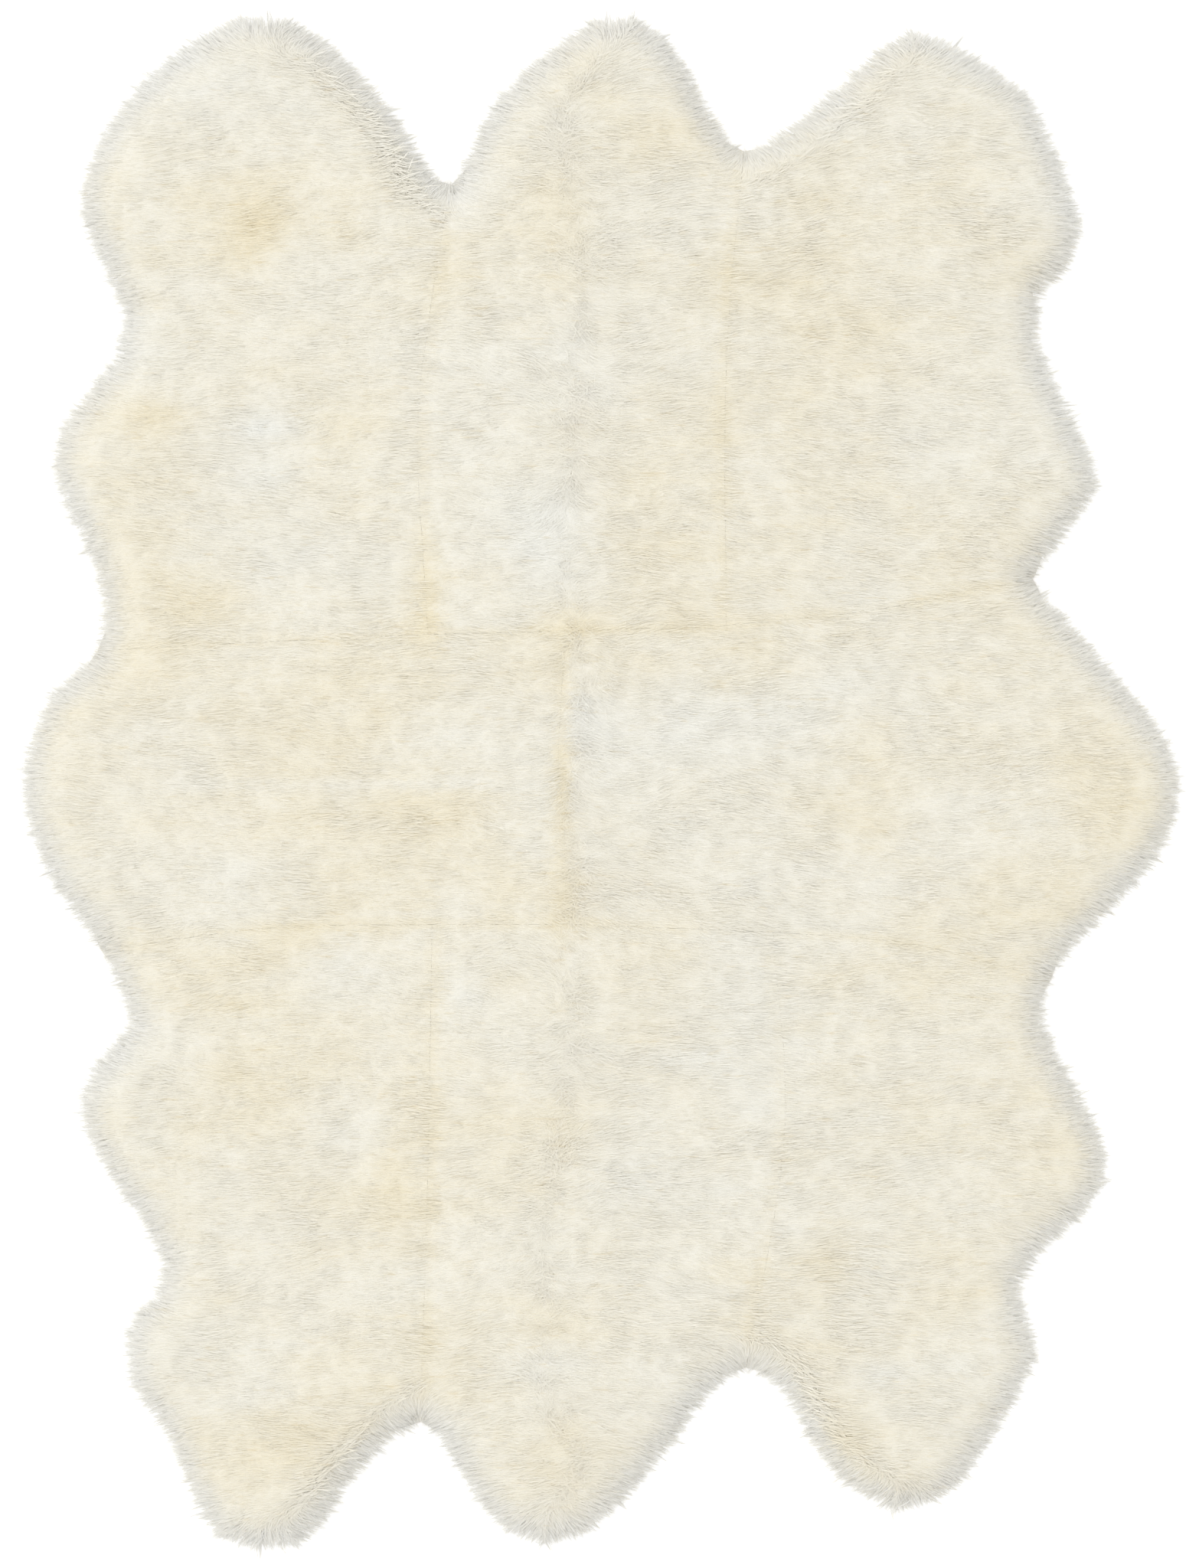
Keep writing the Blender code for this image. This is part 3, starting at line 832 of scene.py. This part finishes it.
def pile_strands(loop, rng):
    spots = scattered(loop, STRAND_SPACING, rng)
    lock, number = nearest_lock(spots, np.array(LOCK_SIZE), 51)
    spots = spots + (lock - spots) * rng.uniform(0.0, LOCK_PULL, (len(spots), 1))
    count = len(spots)
    edge = edge_share(spots)
    lean = unit(combed(spots) + rng.normal(0, DIRECTION_SPREAD, (count, 2)))
    over = LEAN_MIDDLE + LEAN_WANDER * wander(spots, (0.09, 0.06), 53)
    over = over + (LEAN_EDGE - over) * edge + rng.normal(0, LEAN_SPREAD, count)
    length = STRAND_LENGTH * rng.normal(1, LENGTH_SPREAD, count)
    run, drop = length * np.sin(over), np.maximum(length * np.cos(over), 0.001)
    height = read_grid(height_map, spots) + rng.normal(-TIP_SUNK, TIP_SPREAD, count)
    height = height + LOCK_RISE * (number - 0.5)
    tip = np.column_stack([spots, np.maximum(height, LOWEST_TIP)])
    root = tip - np.column_stack([lean * run[:, None], drop])
    root[:, 2] = np.maximum(root[:, 2], LOWEST_ROOT + rng.uniform(0, ROOT_SPREAD, count))
    rise = BEND_RISE * (tip[:, 2] - root[:, 2]) + BEND_EXTRA
    bend = root + np.column_stack([lean * (BEND_RUN * run)[:, None], rise])
    width = STRAND_WIDTH * rng.uniform(*WIDTHS, count)
    twist = rng.normal(0, TWIST_SPREAD, count)
    corners, triangles, facing = leaves(root, bend, tip, width, twist, PILE_LEAF)
    warmth = warmth_of(spots) + rng.normal(0, WARMTH_SPREAD, count) + LOCK_WARMTH * (number - 0.5)
    # painted cool shade near the rim
    rim_shade = PILE_RIM_SHADE * edge_share(spots, PILE_RIM_SHADE_REACH) + rng.normal(0, RIM_SHADE_SPREAD, count)
    light = 1 + rng.normal(0, LIGHT_SPREAD, count) + LOCK_LIGHT * (number - 0.5)
    light = light + STREAK_LIGHT * wander(spots, (0.05, 0.008), 52)
    each = len(PILE_SHADE_ROOT_TO_TIP)
    colours = as_colour(
        np.repeat(warmth[:, None], each, 1),
        np.repeat(rim_shade[:, None], each, 1),
        light[:, None] * np.array(PILE_SHADE_ROOT_TO_TIP),
    )
    return corners, triangles, shaded(tip, facing, rng), colours


expected = rug_area / (STRAND_SPACING ** 2 * math.sqrt(3) / 2)
print(f"the pile will take about {expected:.0f} strands")

# %% [markdown]
# ## The fringe
# Along the outline the last locks lie out over the floor in pointed tufts, bright at the
# tips with darker gaps between them; the bright tips and the dimmer tufts are painted
# highlight and painted shade. Each tuft starts under the pile, well inside the edge, and
# its strands come together at its tip. Three rows of tufts lie one above the other like
# thatch, and a few loose hairs stray past them.

# %% Plan the fringe
TUFT_SPACING = 0.0042
TUFT_ROWS = ((-0.004, 0.50), (0.003, 0.75), (0.011, 0.90))  # how far in, share of the pile's height
STRANDS_IN_TUFT = 5
TUFT_WIDTH = 0.0030
FRINGE_LENGTH = 0.036
FRINGE_WIDTH = 0.0013
FRINGE_LENGTH_SPREAD, FRINGE_TWIST = 0.10, 0.4
TUFT_TURN, TUFT_REACH, TUFT_EXTRA = 0.10, 0.0040, 0.005
TUFT_SHORTER, TUFT_POINT = 0.006, 0.0009  # how unevenly long and how blunt its tip is
TUFT_HEIGHTS, LOWEST_TUFT = (0.6, 1.1), 0.0025
TUFT_RISE, LOWEST_TUFT_ROOT = (0.002, 0.010), 0.0035
TUFT_BEND_RUN, TUFT_BEND_RISE = 0.45, 0.007
# painted light on the tufts: a share of painted cool shade, less on the brighter tufts, a lightness
# below the pile's as painted shade, and a painted highlight on the brighter tufts
TUFT_RIM_SHADE, TUFT_CLEAR, TUFT_SHADED_LIGHTNESS, TUFT_HIGHLIGHT = 0.60, 0.25, 0.95, 0.07
TUFT_WARMTH, TUFT_COOLER = 0.5, 0.25  # half the pile's warmth, and a little cooler
TUFT_SPREADS = (0.10, 0.05, 0.015)  # how uneven the warmth, the painted rim shade and the lightness are
FRINGE_SHADE_TO_HIGHLIGHT = (0.97, 0.98, 0.98, 1.0, 1.0, 1.03)  # painted lightness along a strand: shade at the root, a highlight at the tip
FRINGE_RIM_SHADE = (1.1, 1.0, 1.0, 0.8, 0.8, 0.55)  # and share of its painted cool shade, most at the root
STRAY_SPACING = 0.0040
STRAY_LENGTH, STRAY_TURN, STRAY_SWAY = 0.034, 0.30, 0.006
STRAY_WIDTHS, STRAY_TIPS, STRAY_ROOTS = (0.0006, 0.0011), (0.003, 0.016), (0.005, 0.012)
STRAY_REACH, STRAY_REACH_SPREAD = 0.003, 0.006
STRAY_LOOK = (-0.4, 0.5, 1.0)  # warmth, painted rim shade and lightness


def along_free_edge(name, spacing, rng):
    """Points set out along the pelt's free edge, with the way out at each."""
    spots = []
    for owner, a, b in free:
        if owner == name:
            count = max(1, round(float(np.linalg.norm(b - a)) / spacing))
            share = (np.arange(count) + rng.uniform(0, 1, count))[:, None] / count
            spots.append(a + (b - a) * share)
    spots = np.concatenate(spots)
    return spots, edge_direction(spots)


def tuft_strands(name, inset, share, rng):
    spots, out = along_free_edge(name, TUFT_SPACING, rng)
    tufts = len(spots)
    out = turned(out, rng.normal(0, TUFT_TURN, tufts))
    reach = rng.normal(0, TUFT_REACH, tufts) + np.maximum(rng.normal(0, TUFT_EXTRA, tufts), 0)
    # how much painted highlight each tuft gets; the dimmer ones stay in painted shade between the
    # bright ones
    tuft_highlight = rng.uniform(0, 1, tufts)
    of_tufts = (spots, out, reach, tuft_highlight)
    spots, out, reach, tuft_highlight = (np.repeat(v, STRANDS_IN_TUFT, axis=0) for v in of_tufts)
    count = len(spots)
    across = np.stack([-out[:, 1], out[:, 0]], -1)
    back = np.abs(rng.normal(0, TUFT_SHORTER, count))
    end = spots + out * (reach - inset - back)[:, None] + across * rng.normal(0, TUFT_POINT, (count, 1))
    length = FRINGE_LENGTH * rng.normal(1, FRINGE_LENGTH_SPREAD, count)
    start = end - out * length[:, None] + across * rng.normal(0, TUFT_WIDTH, (count, 1))
    high = read_grid(height_map, end) * share * rng.uniform(*TUFT_HEIGHTS, count)
    high = np.maximum(high, LOWEST_TUFT)
    tip = np.column_stack([end, high])
    low = np.clip(high - rng.uniform(*TUFT_RISE, count), LOWEST_TUFT_ROOT, None)
    root = np.column_stack([start, low])
    rise = high - low + rng.uniform(0, TUFT_BEND_RISE, count)
    bend = root + np.column_stack([out * (TUFT_BEND_RUN * length)[:, None], rise])
    width = FRINGE_WIDTH * rng.uniform(*WIDTHS, count)
    twist = rng.normal(0, FRINGE_TWIST, count)
    corners, triangles, facing = leaves(root, bend, tip, width, twist, FRINGE_LEAF)
    uneven = [rng.normal(0, amount, count) for amount in TUFT_SPREADS]
    warmth = TUFT_WARMTH * warmth_of(start) - TUFT_COOLER + uneven[0]
    rim_shade = TUFT_RIM_SHADE - TUFT_CLEAR * tuft_highlight + uneven[1]
    light = TUFT_SHADED_LIGHTNESS + TUFT_HIGHLIGHT * tuft_highlight + uneven[2]
    colours = as_colour(
        np.repeat(warmth[:, None], len(FRINGE_RIM_SHADE), 1),
        rim_shade[:, None] * np.array(FRINGE_RIM_SHADE),
        light[:, None] * np.array(FRINGE_SHADE_TO_HIGHLIGHT),
    )
    return corners, triangles, shaded(tip, facing, rng, FRINGE_LIFT), colours


def stray_strands(name, rng):
    """Single fine hairs that reach past the tufts."""
    spots, out = along_free_edge(name, STRAY_SPACING, rng)
    count = len(spots)
    out = turned(out, rng.normal(0, STRAY_TURN, count))
    across = np.stack([-out[:, 1], out[:, 0]], -1)
    end = spots + out * np.abs(rng.normal(STRAY_REACH, STRAY_REACH_SPREAD, (count, 1)))
    start = end - out * STRAY_LENGTH
    tip = np.column_stack([end, rng.uniform(*STRAY_TIPS, count)])
    root = np.column_stack([start, rng.uniform(*STRAY_ROOTS, count)])
    sway = across * rng.normal(0, STRAY_SWAY, (count, 1))
    bend = (root + tip) / 2 + np.column_stack([sway, rng.uniform(0, STRAY_SWAY, count)])
    width = rng.uniform(*STRAY_WIDTHS, count)
    twist = rng.normal(0, FRINGE_TWIST, count)
    corners, triangles, facing = leaves(root, bend, tip, width, twist, FRINGE_LEAF)
    # the second number is painted cool shade at the rim
    warmth, rim_shade, light = STRAY_LOOK
    colours = as_colour(np.full((count, len(FRINGE_RIM_SHADE)), warmth), rim_shade, light)
    return corners, triangles, shaded(tip, facing, rng), colours


tufts_planned = len(TUFT_ROWS) * free_length / TUFT_SPACING
print(f"the fringe will take about {tufts_planned:.0f} tufts of {STRANDS_IN_TUFT} strands")

# %% [markdown]
# ## Grow the wool
# All the strands of a pelt become one joined mesh, because tens of thousands of separate
# objects would be slow to handle. A flat map seen from above, one for each pelt, keeps
# the strands' colours together if the wool is ever exported with painted textures.

# %% Build one wool mesh for each pelt
BAKE_MAP = "OFBake"
for number, (name, loop) in enumerate(outlines.items()):
    rng = np.random.default_rng(300 + number)
    batches = [pile_strands(loop, rng)]
    batches += [tuft_strands(name, inset, share, rng) for inset, share in TUFT_ROWS]
    batches.append(stray_strands(name, rng))
    corners, triangles, facing, colours = joined(batches)
    wool = make_piece(f"wool_{short(name)}", corners, triangles, wool_finish, colours)
    wool.data.normals_split_custom_set_from_vertices(facing.tolist())
    low, high = corners[:, :2].min(0), corners[:, :2].max(0)
    flat_map = wool.data.uv_layers.new(name=BAKE_MAP)
    flat = 0.01 + 0.98 * (corners[:, :2] - low) / (high - low)
    flat_map.uv.foreach_set("vector", flat[triangles.ravel()].astype(np.float32).ravel())
    print(f"wool_{short(name)}: {len(batches[0][0])} pile strands, {len(triangles)} triangles")

# %% [markdown]
# ## The seams underneath
# Furriers join pelts edge to edge with close overcast stitches on the flesh side. The
# thread runs to and fro across the seam, so a zigzag path with a thin tube round it is
# all it takes. The tube has four sides, because a thread one millimetre thick needs no more.

# %% Sew the pelts together
STITCH_LENGTH = 0.0060
STITCH_REACH = 0.0034  # how far a stitch bites into each hide
THREAD_RADIUS = 0.00045
THREAD_LEVEL = THREAD_RADIUS * 1.2  # the thread's middle, just clear of the floor
SEAM_END = 0.003  # the stitches stop this far short of a seam's ends
TUBE_SIDES = 4
THREAD_DARK, THREAD_PALE = (0.60, 0.54, 0.39, 1), (0.76, 0.70, 0.55, 1)


def thread_material():
    material, tree, skin = new_material("waxed_thread")
    strands = ramp(tree, noise(tree, 900), ((0.35, THREAD_DARK), (0.65, THREAD_PALE)))
    tree.links.new(strands, skin.inputs["Base Color"])
    tree.links.new(spread(tree, noise(tree, 300), 0.3, 0.7, 0.45, 0.65), skin.inputs["Roughness"])
    return material


def seam_path(first, second):
    """The seam between two pelts as one line of points, or None if they don't meet."""
    steps = [(a, b) for name, other, a, b in sewn if (name, other) == (first, second)]
    if not steps:
        return None
    starts = {tuple(a.round(5)) for a, _ in steps}
    ends = {tuple(b.round(5)) for _, b in steps}
    follows = {tuple(a.round(5)): tuple(b.round(5)) for a, b in steps}
    path = [min(starts - ends)]
    while path[-1] in follows:
        path.append(follows[path[-1]])
    return np.array(path)


def zigzag(path):
    """A thread that crosses the path to and fro, in steps of half a stitch."""
    steps = np.linalg.norm(np.diff(path, axis=0), axis=1)
    marks = np.concatenate([[0], np.cumsum(steps)])
    count = max(2, int(marks[-1] / (STITCH_LENGTH / 2)))
    at = np.linspace(SEAM_END, marks[-1] - SEAM_END, count)
    line = np.stack([np.interp(at, marks, path[:, axis]) for axis in (0, 1)], -1)
    along = unit(np.gradient(line, axis=0))
    across = np.stack([-along[:, 1], along[:, 0]], -1)
    side_to_side = np.where(np.arange(count) % 2, 1, -1)[:, None] * STITCH_REACH
    return np.column_stack([line + across * side_to_side, np.full(count, THREAD_LEVEL)])


def tube(line, radius):
    """Points and faces of a thin tube round a line, closed at both ends."""
    along = unit(np.gradient(line, axis=0))
    left = unit(np.cross(UP, along))
    over = np.cross(along, left)
    angles = 2 * math.pi * (np.arange(TUBE_SIDES) + 0.5) / TUBE_SIDES
    rings = [line + radius * (left * math.cos(a) + over * math.sin(a)) for a in angles]
    points = np.stack(rings, 1).reshape(-1, 3)
    faces = []
    for step in range(len(line) - 1):
        for k in range(TUBE_SIDES):
            j = (k + 1) % TUBE_SIDES
            a, b = TUBE_SIDES * step, TUBE_SIDES * (step + 1)
            faces.append((a + k, a + j, b + j, b + k))
    last = TUBE_SIDES * (len(line) - 1)
    faces.append(tuple(reversed(range(TUBE_SIDES))))
    faces.append(tuple(range(last, last + TUBE_SIDES)))
    return points, faces


waxed_thread = thread_material()
stitches = {}
for first in PELTS:
    for second in PELTS:
        path = seam_path(first, second) if first < second else None
        if path is None:
            continue
        points, faces = tube(zigzag(path), THREAD_RADIUS)
        seam = make_piece(
            f"stitches_{short(first)}_to_{short(second)}", points, faces, waxed_thread
        )
        stitches.setdefault(first, []).append(seam)
        print(f"{seam.name}: {len(path)} points, {len(faces)} faces")

# %% [markdown]
# ## Saying what each sheet is
# The part's users can ask how large each hide was cut. The hide lies flat, and its cut
# size is printed here.

for name, hide in hides.items():
    print(f"{hide.name}: cut {hide['cut_size'][0]:.2f} x {hide['cut_size'][1]:.2f} m")

# %% [markdown]
# ## Studio
# The rug is shown from straight above on a white floor, as in a catalogue. A long lens
# high up keeps the view flat. The light is a bright, even sky with one broad, soft lamp
# from the upper left, which gives the locks a little shape. The floor also glows faintly,
# like a light table, so that the fringe ends against clean white without a hard shadow.

# %% Floor, light and camera
LENS_MM = 80.0
FILM_HEIGHT_MM = 24.0
VIEW_LENGTH = 2.437  # what the picture's height takes in, in metres, at the wool
WOOL_LEVEL = 0.040
SKY_STRENGTH = 0.96
LAMP_STRENGTH = 0.65
FLOOR_GLOW = 0.40
FLOOR_REACH = 9.0
LAMP_FROM, LAMP_SPREAD = (-0.75, 0.55, 1.0), math.radians(80)
CAMERA_X, CAMERA_Y = -0.0036, -0.0012

scene = bpy.context.scene
scene.view_settings.view_transform = "Standard"

floor_mesh = bpy.data.meshes.new("floor")
floor_corners = [(FLOOR_REACH * x, FLOOR_REACH * y, 0) for x, y in ((-1, -1), (1, -1), (1, 1), (-1, 1))]
floor_mesh.from_pydata(floor_corners, [], [(0, 1, 2, 3)])
floor = bpy.data.objects.new("floor", floor_mesh)
scene.collection.objects.link(floor)
floor_finish, _, floor_skin = new_material("white_floor")
floor_skin.inputs["Base Color"].default_value = (0.80, 0.80, 0.80, 1)
floor_skin.inputs["Roughness"].default_value = 0.9
floor_skin.inputs["Specular IOR Level"].default_value = 0.0
floor_skin.inputs["Emission Color"].default_value = (1, 1, 1, 1)
floor_skin.inputs["Emission Strength"].default_value = FLOOR_GLOW
floor_mesh.materials.append(floor_finish)

world = bpy.data.worlds.new("even_sky")
scene.world = world
world.use_nodes = True
sky = world.node_tree.nodes["Background"]
sky.inputs["Color"].default_value = (1.0, 1.0, 1.0, 1)
sky.inputs["Strength"].default_value = SKY_STRENGTH

lamp_data = bpy.data.lights.new("soft_lamp", "SUN")
lamp_data.energy = LAMP_STRENGTH
lamp_data.angle = LAMP_SPREAD
lamp = bpy.data.objects.new("soft_lamp", lamp_data)
lamp.rotation_euler = Vector(LAMP_FROM).to_track_quat("Z", "Y").to_euler()
scene.collection.objects.link(lamp)

camera_data = bpy.data.cameras.new("overhead")
camera_data.sensor_fit = "VERTICAL"
camera_data.sensor_height = FILM_HEIGHT_MM
camera_data.lens = LENS_MM
camera_data.clip_end = 100
camera = bpy.data.objects.new("overhead", camera_data)
camera.location = (CAMERA_X, CAMERA_Y, WOOL_LEVEL + VIEW_LENGTH * LENS_MM / FILM_HEIGHT_MM)
scene.collection.objects.link(camera)
scene.camera = camera
print(f"camera {camera.location.z:.2f} m above the floor")
